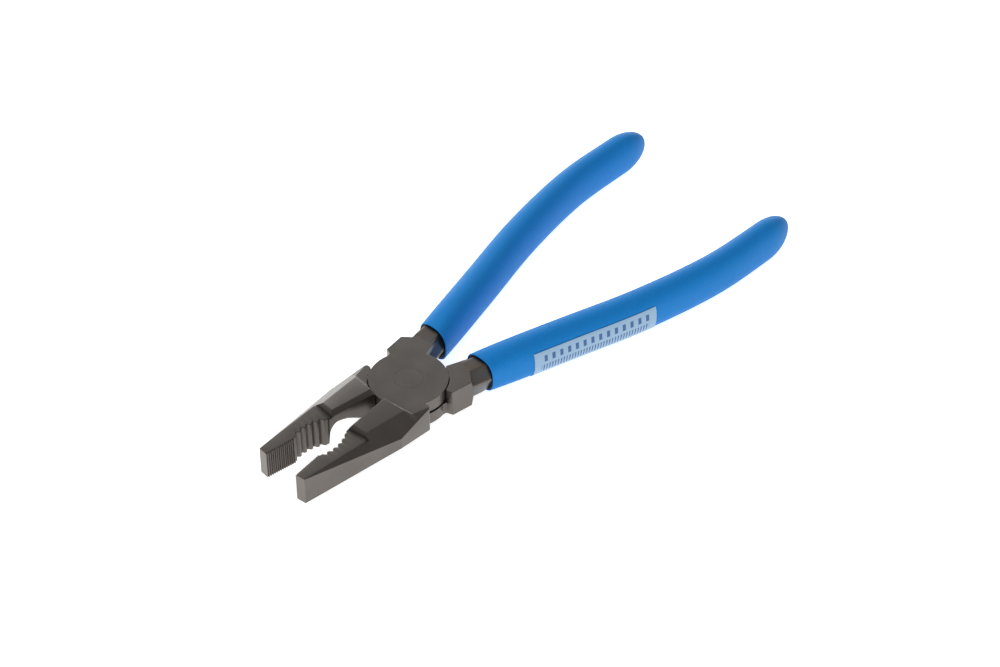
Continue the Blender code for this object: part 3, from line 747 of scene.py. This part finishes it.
def shoulder_skin(name, side, joint, handle):
    """Shoulder: its plan with eased corners at each height; the back runs out to a ridge half way up."""
    heights, drops = edge_rows(-joint.half_thickness, joint.half_thickness, joint.edge)
    ridge = handle.shoulder_ridge * (1 - np.abs(heights) / joint.half_thickness)
    radius = joint.disc_radius
    on_rim = math.sqrt(radius ** 2 - handle.shoulder_root_y ** 2)
    front = -handle.shoulder_front
    outer = radius + handle.shoulder_margin - handle.shoulder_flare
    corners = corner_array([
        (front, outer - handle.corner_width),
        (front - handle.corner_length, outer),
        (front - handle.shoulder_length - ridge, outer + 2 * handle.shoulder_flare),
        (-radius - handle.shoulder_tail - ridge, handle.shoulder_neck_y),
        (-on_rim, handle.shoulder_root_y),
        (handle.shoulder_sink - on_rim, handle.shoulder_root_y),
        (front + handle.horn_slant, radius - handle.horn_sink),
    ])
    outlines = rounded(corners, handle.shoulder_easing, SHOULDER_STEPS) * (1, side)
    return layered(name, outlines, heights, drops)


def forged_half(name, side, lap):
    """One half: jaw on its side, disc in its layer, shoulder and bar on the other side.

    lap is +1 where the disc is the upper layer. The other layer is cleared for the other disc.
    """
    joint = chosen("plier_joint")
    jaw = chosen("plier_jaw")
    handle = chosen("plier_handle")
    full = joint.half_thickness
    lap_face = joint.lap_gap / 2
    low, high = (lap_face, full) if lap > 0 else (-full, -lap_face)
    body = jaw_skin(name, side, joint, jaw, chosen("plier_face"))
    shoulder = shoulder_skin("shoulder", -side, joint, handle)
    combine(shoulder, bar_skin("bar", -side, lap, handle, joint), "UNION")
    combine(body, shoulder, "UNION")
    clear = 2 * (full + jaw.block_ridge_height)
    room = (-clear, lap_face) if lap > 0 else (-lap_face, clear)
    # The shoulder's free layer stands back at the front, which leaves the dark slot beside the rim
    back = -handle.shoulder_front - handle.notch
    slot = np.array([
        (0.0, joint.disc_radius / 2), (back, joint.disc_radius / 2),
        (back, 2 * joint.disc_radius), (0.0, 2 * joint.disc_radius)])
    combine(body, plate("slot", slot * (1, -side), *room, CUT_EDGE), "DIFFERENCE")
    cut = ring_of(joint.disc_radius + joint.rim_clearance)
    combine(body, plate("room", cut, *room, CUT_EDGE), "DIFFERENCE")
    combine(body, plate("disc", ring_of(joint.disc_radius), low, high, joint.edge), "UNION")
    bore = ring_of(joint.rivet_radius + joint.rivet_fit, RIVET_SEGMENTS)
    combine(body, plate("bore", bore, -clear, clear, CUT_EDGE), "DIFFERENCE")
    place_half(body, side)
    ground_shading(body, FORGED_SHARP)
    return body


def dress(thing, material, body, replaced):
    """Give a piece its material and its body, and hide the imported part that it replaces."""
    thing.data.materials.clear()
    thing.data.materials.append(material)
    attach(thing, body)
    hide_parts(replaced)


def node(tree, kind, inputs=None, **settings):
    """Add one node: settings on it, then inputs by name or number as values or as sockets to link."""
    made = tree.nodes.new(kind)
    for key, value in settings.items():
        setattr(made, key, value)
    for key, value in (inputs or {}).items():
        if isinstance(value, bpy.types.NodeSocket):
            tree.links.new(value, made.inputs[key])
        else:
            made.inputs[key].default_value = value
    return made


def new_material(name):
    """New material, its node tree and its Principled shader."""
    material = bpy.data.materials.new(name)
    material.use_nodes = True
    tree = material.node_tree
    return material, tree, tree.nodes["Principled BSDF"]


def opaque(values):
    """Colour property as four numbers."""
    return (*values, 1.0)


def per_metre(millimetres):
    """Noise texture setting for features of about this size: one over their size in metres."""
    return 1 / (millimetres * MM)


def surface(tree, shader, tint, pattern, gloss, relief, bump):
    """Lead a finish to its shader: colour, roughness spread over gloss by a pattern, bump by a relief."""
    rough = node(tree, "ShaderNodeMapRange", {"Value": pattern, "To Min": gloss[0], "To Max": gloss[1]})
    raised = node(tree, "ShaderNodeBump", {"Height": relief, "Strength": bump[0], "Distance": bump[1] * MM})
    tree.links.new(tint, shader.inputs["Base Color"])
    tree.links.new(rough.outputs[0], shader.inputs["Roughness"])
    tree.links.new(raised.outputs[0], shader.inputs["Normal"])


def ground_steel(name, patch):
    """Ground steel, phosphated and oiled: dark warm grey metal, in patches where the oil has thinned.

    Gives the material, its tree and shader, the coordinates, the patches, the grain and the colour.
    """
    tone = chosen("plier_colours")
    material, tree, shader = new_material(name)
    shader.inputs["Metallic"].default_value = STEEL_METALLIC
    coords = node(tree, "ShaderNodeTexCoord").outputs["Object"]
    patches = node(tree, "ShaderNodeTexNoise", {"Vector": coords, "Scale": per_metre(patch), "Detail": 4.0})
    grain = node(tree, "ShaderNodeTexNoise", {"Vector": coords, "Scale": per_metre(STEEL_GRAIN),
                                              "Detail": 3.0})
    base = node(tree, "ShaderNodeMix", {"Factor": patches.outputs[0], MIX_A: opaque(tone.steel_dark),
                                        MIX_B: opaque(tone.steel)}, data_type="RGBA")
    return material, tree, shader, coords, patches.outputs[0], grain.outputs[0], base.outputs[MIX_OUT]


def forged_steel():
    """Forged steel, ground on its flats, phosphated and oiled.

    To the eye: a dark warm grey metal with a soft broken gloss, faint grinding lines, patches where
    the oil has thinned, painted shade in the foot of the step, near black, and straw to
    blue heat colours on the necks.
    """
    tone = chosen("plier_colours")
    joint = chosen("plier_joint")
    jaw = chosen("plier_jaw")
    material, tree, shader, coords, patches, grain, base = ground_steel(
        "forged steel, ground and phosphated", OIL_PATCHES)
    place = node(tree, "ShaderNodeSeparateXYZ", {"Vector": coords}).outputs
    # Grinding lines along the tool, drawn coarser than the real ones so that they show
    lines_at = node(tree, "ShaderNodeMapping", {"Vector": coords, "Scale": LINE_STRETCH,
                                                "Rotation": (0.0, 0.0, LINE_TURN)})
    lines = node(tree, "ShaderNodeTexNoise", {"Vector": lines_at.outputs[0],
                                              "Scale": per_metre(GRINDING_LINES), "Detail": 2.0})
    relief = node(tree, "ShaderNodeMath", {0: grain, 1: lines.outputs[0]}, operation="ADD")
    # Heat colours begin behind the shoulder and run into the sleeves
    heated = node(tree, "ShaderNodeMapRange", {"Value": place["X"], "From Min": -HEAT_START,
                                               "From Max": -HEAT_FULL, "To Max": HEAT_SHARE})
    spots = node(tree, "ShaderNodeTexNoise", {"Vector": coords, "Scale": per_metre(HEAT_SPOTS),
                                              "Detail": 2.0})
    spread = node(tree, "ShaderNodeMapRange", {"Value": spots.outputs[0], "From Min": HEAT_MIXING[0],
                                               "From Max": HEAT_MIXING[1]})
    heat = node(tree, "ShaderNodeMix", {"Factor": spread.outputs[0], MIX_A: opaque(tone.heat_brown),
                                        MIX_B: opaque(tone.heat_blue)}, data_type="RGBA")
    tinted = node(tree, "ShaderNodeMix", {"Factor": heated.outputs[0], MIX_A: base,
                                          MIX_B: heat.outputs[MIX_OUT]}, data_type="RGBA")
    # Painted shade lies along the foot of the step, at the same station of either turned jaw, darkest at the
    # foot
    foot = stations(jaw).block_end + jaw.step_run
    level = joint.half_thickness + jaw.tip_height
    beside = node(tree, "ShaderNodeMath", {0: place["Y"]}, operation="ABSOLUTE")
    across = node(tree, "ShaderNodeMath", {0: beside.outputs[0], 1: math.sin(joint.half_opening)},
                  operation="MULTIPLY")
    along = node(tree, "ShaderNodeMath", {0: place["X"], 1: math.cos(joint.half_opening),
                                          2: across.outputs[0]}, operation="MULTIPLY_ADD")
    covered = STEP_SHADE_SHARE
    for value, start, full in ((along.outputs[0], foot - STEP_SHADE_UP, foot),
                               (along.outputs[0], foot + STEP_SHADE_ALONG, foot),
                               (place["Z"], level - STEP_SHADE_DOWN, level)):
        within = node(tree, "ShaderNodeMapRange", {"Value": value, "From Min": start, "From Max": full})
        covered = node(tree, "ShaderNodeMath", {0: covered, 1: within.outputs[0]},
                       operation="MULTIPLY").outputs[0]
    # Mix in the painted shade at the foot of the step
    finish = node(tree, "ShaderNodeMix", {"Factor": covered, MIX_A: tinted.outputs[MIX_OUT],
                                          MIX_B: opaque(tone.scale)}, data_type="RGBA")
    surface(tree, shader, finish.outputs[MIX_OUT], patches, STEEL_GLOSS, relief.outputs[0], STEEL_BUMP)
    return material


def rivet_steel():
    """Rivet steel, set and ground flush: to the eye the same grey, in smaller patches and with no lines."""
    material, tree, shader, _, patches, grain, base = ground_steel(
        "rivet steel, ground flush", RIVET_PATCHES)
    surface(tree, shader, base, patches, STEEL_GLOSS, grain, STEEL_BUMP)
    return material


def dipped_vinyl():
    """Vinyl, dipped and cured: to the eye a satin blue, uneven where it ran, darker inside the mouth."""
    tone = chosen("plier_colours")
    material, tree, shader = new_material("vinyl, dipped and cured")
    shader.inputs["IOR"].default_value = VINYL_IOR
    shader.inputs["Specular IOR Level"].default_value = VINYL_SPECULAR
    coords = node(tree, "ShaderNodeTexCoord").outputs["Object"]
    runs = node(tree, "ShaderNodeTexNoise", {"Vector": coords, "Scale": per_metre(VINYL_RUNS),
                                             "Detail": 3.0})
    skin = node(tree, "ShaderNodeTexNoise", {"Vector": coords, "Scale": per_metre(VINYL_SKIN),
                                             "Detail": 3.0})
    base = node(tree, "ShaderNodeMix", {"Factor": skin.outputs[0], MIX_A: opaque(tone.vinyl_deep),
                                        MIX_B: opaque(tone.vinyl)}, data_type="RGBA")
    # Darker colour on the bore and the inner edge of the lip
    inner = node(tree, "ShaderNodeAttribute", attribute_name="dark_in_bore")
    both = node(tree, "ShaderNodeMix", {"Factor": inner.outputs["Fac"], MIX_A: base.outputs[MIX_OUT],
                                        MIX_B: opaque(tone.vinyl_in_bore)}, data_type="RGBA")
    surface(tree, shader, both.outputs[MIX_OUT], runs.outputs[0], VINYL_GLOSS, skin.outputs[0], VINYL_BUMP)
    return material


def label_film():
    """Polyester film, printed and stuck on: to the eye pale, thin and smooth, with plain marks on it."""
    tone = chosen("plier_colours")
    handle = chosen("plier_handle")
    material, tree, shader = new_material("polyester film, printed")
    spot = node(tree, "ShaderNodeUVMap", uv_map="film")
    place = node(tree, "ShaderNodeSeparateXYZ", {"Vector": spot.outputs[0]}).outputs
    marks = []
    for pitch, (across, half_height, half_fill) in ((handle.tick_pitch, TICK_ROW),
                                                    (handle.dash_pitch, DASH_ROW)):
        many = node(tree, "ShaderNodeMath", {0: place["X"], 1: handle.label_length / pitch},
                    operation="MULTIPLY")
        part = node(tree, "ShaderNodeMath", {0: many.outputs[0]}, operation="FRACT")
        mark = node(tree, "ShaderNodeMath", {0: part.outputs[0], 1: 0.5, 2: half_fill}, operation="COMPARE")
        row = node(tree, "ShaderNodeMath", {0: place["Y"], 1: across, 2: half_height}, operation="COMPARE")
        marks.append(node(tree, "ShaderNodeMath", {0: mark.outputs[0], 1: row.outputs[0]},
                          operation="MULTIPLY"))
    either = node(tree, "ShaderNodeMath", {0: marks[0].outputs[0], 1: marks[1].outputs[0]},
                  operation="MAXIMUM")
    clear_ends = node(tree, "ShaderNodeMath", {0: place["X"], 1: 0.5, 2: MARKS_HALF}, operation="COMPARE")
    printed = node(tree, "ShaderNodeMath", {0: either.outputs[0], 1: clear_ends.outputs[0]},
                   operation="MULTIPLY")
    ink = node(tree, "ShaderNodeMix", {"Factor": printed.outputs[0], MIX_A: opaque(tone.film),
                                       MIX_B: opaque(tone.print_ink)}, data_type="RGBA")
    coords = node(tree, "ShaderNodeTexCoord").outputs["Object"]
    waves = node(tree, "ShaderNodeTexNoise", {"Vector": coords, "Scale": per_metre(FILM_WAVES),
                                              "Detail": 2.0})
    surface(tree, shader, ink.outputs[MIX_OUT], waves.outputs[0], FILM_GLOSS, waves.outputs[0], FILM_BUMP)
    return material


class PLIERS_OT_halves(bpy.types.Operator):
    """Build the two forged halves with their jaws, lap discs, shoulders and bars."""
    bl_idname = "pliers.halves"
    bl_label = "Forged halves"

    def execute(self, context):
        steel = forged_steel()
        dress(forged_half("upper_half_forging", 1, 1), steel, UPPER, "upper_half")
        dress(forged_half("lower_half_forging", -1, -1), steel, LOWER, "lower_half")
        return {"FINISHED"}


class PLIERS_OT_rivet(bpy.types.Operator):
    """Build the flush pivot rivet."""
    bl_idname = "pliers.rivet"
    bl_label = "Pivot rivet"

    def execute(self, context):
        joint = chosen("plier_joint")
        tall = joint.half_thickness
        outline = ring_of(joint.rivet_radius, RIVET_SEGMENTS)
        thing = plate("pivot_pin", outline, -tall, tall, joint.edge / 2)
        place_half(thing, 1)
        ground_shading(thing, RIVET_SHARP)
        dress(thing, rivet_steel(), UPPER, "pivot_rivet")
        return {"FINISHED"}


def sleeve_skin(name, side):
    """Dipped sleeve: bore rings from its blind end to the mouth, a rolled lip, then the oval outside.

    The far end is a dome: distance by the sine and size by the cosine of a quarter turn.
    """
    joint = chosen("plier_joint")
    handle = chosen("plier_handle")
    angle = ring_angles()
    round_start = handle_length(handle) - handle.end_round
    bore = np.linspace(round_start - handle.bar_end_wall + handle.fit, handle.mouth_start, BAR_ROWS)
    bar_width, bar_height = bar_size(bore, handle)
    bore_u, bore_w = bar_ring(bar_width + handle.fit, bar_height + handle.fit, handle, angle,
                              broad_share(bore, handle), -side)
    lip = handle.lip
    phase = np.linspace(math.pi / 2, 0.0, 2 * CORNER_STEPS)
    lip_at = handle.mouth_start + lip * (1 - np.sin(phase))
    back = lip * (1 - np.cos(phase))
    width, height, power = sleeve_size(lip_at, handle)
    lip_u, lip_w = oval(width - back, height - back, power, angle)
    flank = np.linspace(handle.mouth_start + lip, round_start, FLANK_ROWS)[1:]
    flank_u, flank_w = oval(*sleeve_size(flank, handle), angle)
    bend = np.linspace(0.0, math.pi / 2, DOME_ROWS)[1:-1]
    dome = round_start + handle.end_round * np.sin(bend)
    width, height, power = sleeve_size(dome, handle)
    dome_u, dome_w = oval(width * np.cos(bend), height * np.cos(bend), power, angle)
    distance = np.r_[bore, lip_at, flank, dome]
    beside = np.concatenate([bore_u, lip_u, flank_u, dome_u])
    above = np.concatenate([bore_w, lip_w, flank_w, dome_w])
    thing = mesh_object(name, *closed_skin(along_handle(distance, beside, above, side, handle, joint)))
    # Dark colour on the bore rings and the lip's first ring, fading across the lip's end face
    inner = np.zeros(beside.shape)
    inner[:len(bore) + 1] = 1.0
    layer = thing.data.attributes.new("dark_in_bore", "FLOAT", "POINT")
    layer.data.foreach_set("value", inner.ravel().astype(np.float32))
    place_half(thing, -side)
    smooth_shading(thing, SOFT_SHARP)
    return thing


class PLIERS_OT_sleeves(bpy.types.Operator):
    """Build the two dipped handle sleeves."""
    bl_idname = "pliers.sleeves"
    bl_label = "Handle sleeves"

    def execute(self, context):
        vinyl = dipped_vinyl()
        dress(sleeve_skin("upper_half_sleeve", -1), vinyl, UPPER, "upper_half_grip")
        dress(sleeve_skin("lower_half_sleeve", 1), vinyl, LOWER, "lower_half_grip")
        return {"FINISHED"}


def label_skin(name):
    """Film on the outer flank: the sleeve's oval at two lifts, the inner sheet joined to the outer one.

    Its map "film" runs from 0 to 1 along the sleeve and from 0 to 1 round it.
    """
    joint = chosen("plier_joint")
    handle = chosen("plier_handle")
    start = handle.mouth_start + handle.label_start
    distance = np.linspace(start, start + handle.label_length, LABEL_ROWS)
    angle = np.linspace(handle.label_low, handle.label_top, LABEL_COLUMNS)
    width, height, power = sleeve_size(distance, handle)
    lifts = (handle.label_lift, handle.label_lift + handle.label_thickness)
    inner, outer = (oval(width + lift, height + lift, power, angle) for lift in lifts)
    beside, above = (np.concatenate([inner[k], outer[k][:, ::-1]], axis=1) for k in (0, 1))
    thing = mesh_object(name, *closed_skin(along_handle(distance, beside, above, 1, handle, joint)))
    along, across = np.meshgrid(np.linspace(0.0, 1.0, LABEL_ROWS), np.linspace(0.0, 1.0, LABEL_COLUMNS),
                                indexing="ij")
    places = np.stack([np.concatenate([along, along], axis=1),
                       np.concatenate([across, across[:, ::-1]], axis=1)], axis=-1)
    loops = np.empty(len(thing.data.loops), np.int32)
    thing.data.loops.foreach_get("vertex_index", loops)
    film = thing.data.uv_layers.new(name="film")
    film.uv.foreach_set("vector", places.reshape(-1, 2)[loops].ravel().astype(np.float32))
    place_half(thing, -1)
    smooth_shading(thing, SOFT_SHARP)
    return thing


class PLIERS_OT_label(bpy.types.Operator):
    """Build the printed film on the outer flank of the near sleeve."""
    bl_idname = "pliers.label"
    bl_label = "Label film"

    def execute(self, context):
        dress(label_skin("sleeve_label"), label_film(), LOWER, "grip_label")
        return {"FINISHED"}


def paper_floor(stage):
    """Flat square grid under the object, of paper, matt white.

    To the eye: an even pale floor that keeps a soft shade. Its glow fades with distance, so that the
    steel mirrors a darker room.
    """
    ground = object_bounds()[0][2]
    grid = np.linspace(-stage.floor_half, stage.floor_half, FLOOR_POINTS)
    x, y = np.meshgrid(grid, grid, indexing="ij")
    index = np.arange(x.size).reshape(x.shape)
    quads = np.stack([index[:-1, :-1], index[1:, :-1], index[1:, 1:], index[:-1, 1:]], axis=-1)
    verts = np.stack([x.ravel(), y.ravel(), np.full(x.size, ground)], axis=-1)
    floor = mesh_object("floor", verts, quads.reshape(-1, 4).tolist())
    material, tree, shader = new_material("paper, matt white")
    shader.inputs["Base Color"].default_value = opaque(chosen("plier_colours").floor)
    shader.inputs["Roughness"].default_value = PAPER_ROUGHNESS
    shader.inputs["Emission Color"].default_value = WHITE
    coords = node(tree, "ShaderNodeTexCoord").outputs["Object"]
    fibre = node(tree, "ShaderNodeTexNoise", {"Vector": coords, "Scale": per_metre(PAPER_FIBRE)})
    bump = node(tree, "ShaderNodeBump", {"Height": fibre.outputs[0], "Strength": PAPER_BUMP})
    away = node(tree, "ShaderNodeVectorMath", {0: coords}, operation="LENGTH")
    glow = node(tree, "ShaderNodeMapRange", {
        "Value": away.outputs["Value"], "From Min": GLOW_FADE[0], "From Max": GLOW_FADE[1],
        "To Min": stage.floor_glow, "To Max": stage.near_sky})
    tree.links.new(bump.outputs[0], shader.inputs["Normal"])
    tree.links.new(glow.outputs[0], shader.inputs["Emission Strength"])
    floor.data.materials.append(material)
    floor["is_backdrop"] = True


def white_room(stage):
    """Surround: weak on the camera's side, stronger behind the object, with a bright screen there."""
    world = bpy.data.worlds.new("soft white room")
    world.use_nodes = True
    sky = world.node_tree
    look = node(sky, "ShaderNodeTexCoord").outputs["Generated"]
    far = (-math.cos(stage.azimuth), -math.sin(stage.azimuth), 0.0)
    behind = node(sky, "ShaderNodeVectorMath", {0: look, 1: far}, operation="DOT_PRODUCT").outputs["Value"]
    fade = node(sky, "ShaderNodeMapRange", {
        "Value": behind, "From Min": SURROUND_FADE[0], "From Max": SURROUND_FADE[1],
        "To Min": stage.near_sky, "To Max": stage.far_sky})
    screen = node(sky, "ShaderNodeMapRange", {
        "Value": behind, "From Min": SCREEN_FADE[0], "From Max": SCREEN_FADE[1],
        "To Max": stage.backdrop})
    total = node(sky, "ShaderNodeMath", {0: fade.outputs[0], 1: screen.outputs[0]}, operation="ADD")
    sky.links.new(total.outputs[0], sky.nodes["Background"].inputs["Strength"])
    sky.nodes["Background"].inputs["Color"].default_value = WHITE
    bpy.context.scene.world = world


def soft_light(name, side, watts, place):
    """Square area light turned to the origin, which steel doesn't mirror."""
    light = bpy.data.lights.new(name, "AREA")
    light.shape = "RECTANGLE"
    light.size = side
    light.size_y = side
    light.energy = watts
    lamp = bpy.data.objects.new(name, light)
    lamp.location = place
    lamp.rotation_euler = (-lamp.location).to_track_quat("-Z", "Y").to_euler()
    lamp.visible_glossy = False
    bpy.context.scene.collection.objects.link(lamp)


def photo_camera(stage):
    """Camera at the photograph's viewing angle: axes from azimuth and elevation, then turned by the roll."""
    back = np.array([math.cos(stage.elevation) * math.cos(stage.azimuth),
                     math.cos(stage.elevation) * math.sin(stage.azimuth), math.sin(stage.elevation)])
    right = np.cross((0.0, 0.0, 1.0), back)
    right /= np.linalg.norm(right)
    up = np.cross(back, right)
    c, s = math.cos(stage.roll), math.sin(stage.roll)
    axes = np.column_stack([c * right + s * up, c * up - s * right, back])
    lens = bpy.data.cameras.new("photo camera")
    lens.lens = stage.lens
    lens.sensor_width = SENSOR_WIDTH
    lens.clip_start = NEAREST
    view = bpy.data.objects.new("photo camera", lens)
    pose = Matrix(axes.tolist()).to_4x4()
    pose.translation = (stage.camera_x, stage.camera_y, stage.camera_z)
    view.matrix_world = pose
    bpy.context.scene.collection.objects.link(view)
    bpy.context.scene.camera = view


class PLIERS_OT_stage(bpy.types.Operator):
    """Build the pale floor, the soft light and the camera."""
    bl_idname = "pliers.stage"
    bl_label = "Stage"

    def execute(self, context):
        stage = chosen("plier_stage")
        paper_floor(stage)
        white_room(stage)
        soft_light("soft box", KEY_SIDE, stage.key, KEY_PLACE)
        soft_light("fill", FILL_SIDE, stage.fill, FILL_PLACE)
        photo_camera(stage)
        context.scene.view_settings.view_transform = "Standard"
        return {"FINISHED"}


class PLIERS_PT_sidebar(bpy.types.Panel):
    """Lists the operators and the sizes."""
    bl_idname = "PLIERS_PT_sidebar"
    bl_label = "Combination pliers"
    bl_space_type = "VIEW_3D"
    bl_region_type = "UI"
    bl_category = "Pliers"

    def draw(self, context):
        for operator in OPERATORS:
            self.layout.operator(operator.bl_idname)
        for name, group in GROUPS.items():
            box = self.layout.box()
            for key in group.__annotations__:
                box.prop(getattr(context.scene, name), key)


OPERATORS = (PLIERS_OT_halves, PLIERS_OT_rivet, PLIERS_OT_sleeves, PLIERS_OT_label, PLIERS_OT_stage)
GROUPS = {
    "plier_joint": JointSizes,
    "plier_jaw": JawSizes,
    "plier_face": FaceSizes,
    "plier_handle": HandleSizes,
    "plier_colours": FinishColours,
    "plier_stage": StageSizes,
}


def register():
    """Register the classes and hang the property groups on the scene."""
    for kind in (*GROUPS.values(), *OPERATORS, PLIERS_PT_sidebar):
        bpy.utils.register_class(kind)
    for name, kind in GROUPS.items():
        setattr(bpy.types.Scene, name, bpy.props.PointerProperty(type=kind))


def unregister():
    """Take the property groups off the scene and unregister the classes."""
    for name in GROUPS:
        delattr(bpy.types.Scene, name)
    for kind in (PLIERS_PT_sidebar, *reversed(OPERATORS), *reversed(list(GROUPS.values()))):
        bpy.utils.unregister_class(kind)


def main():
    """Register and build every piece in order."""
    register()
    bpy.ops.pliers.halves()
    bpy.ops.pliers.rivet()
    bpy.ops.pliers.sleeves()
    bpy.ops.pliers.label()
    bpy.ops.pliers.stage()


if __name__ == "__main__":
    main()
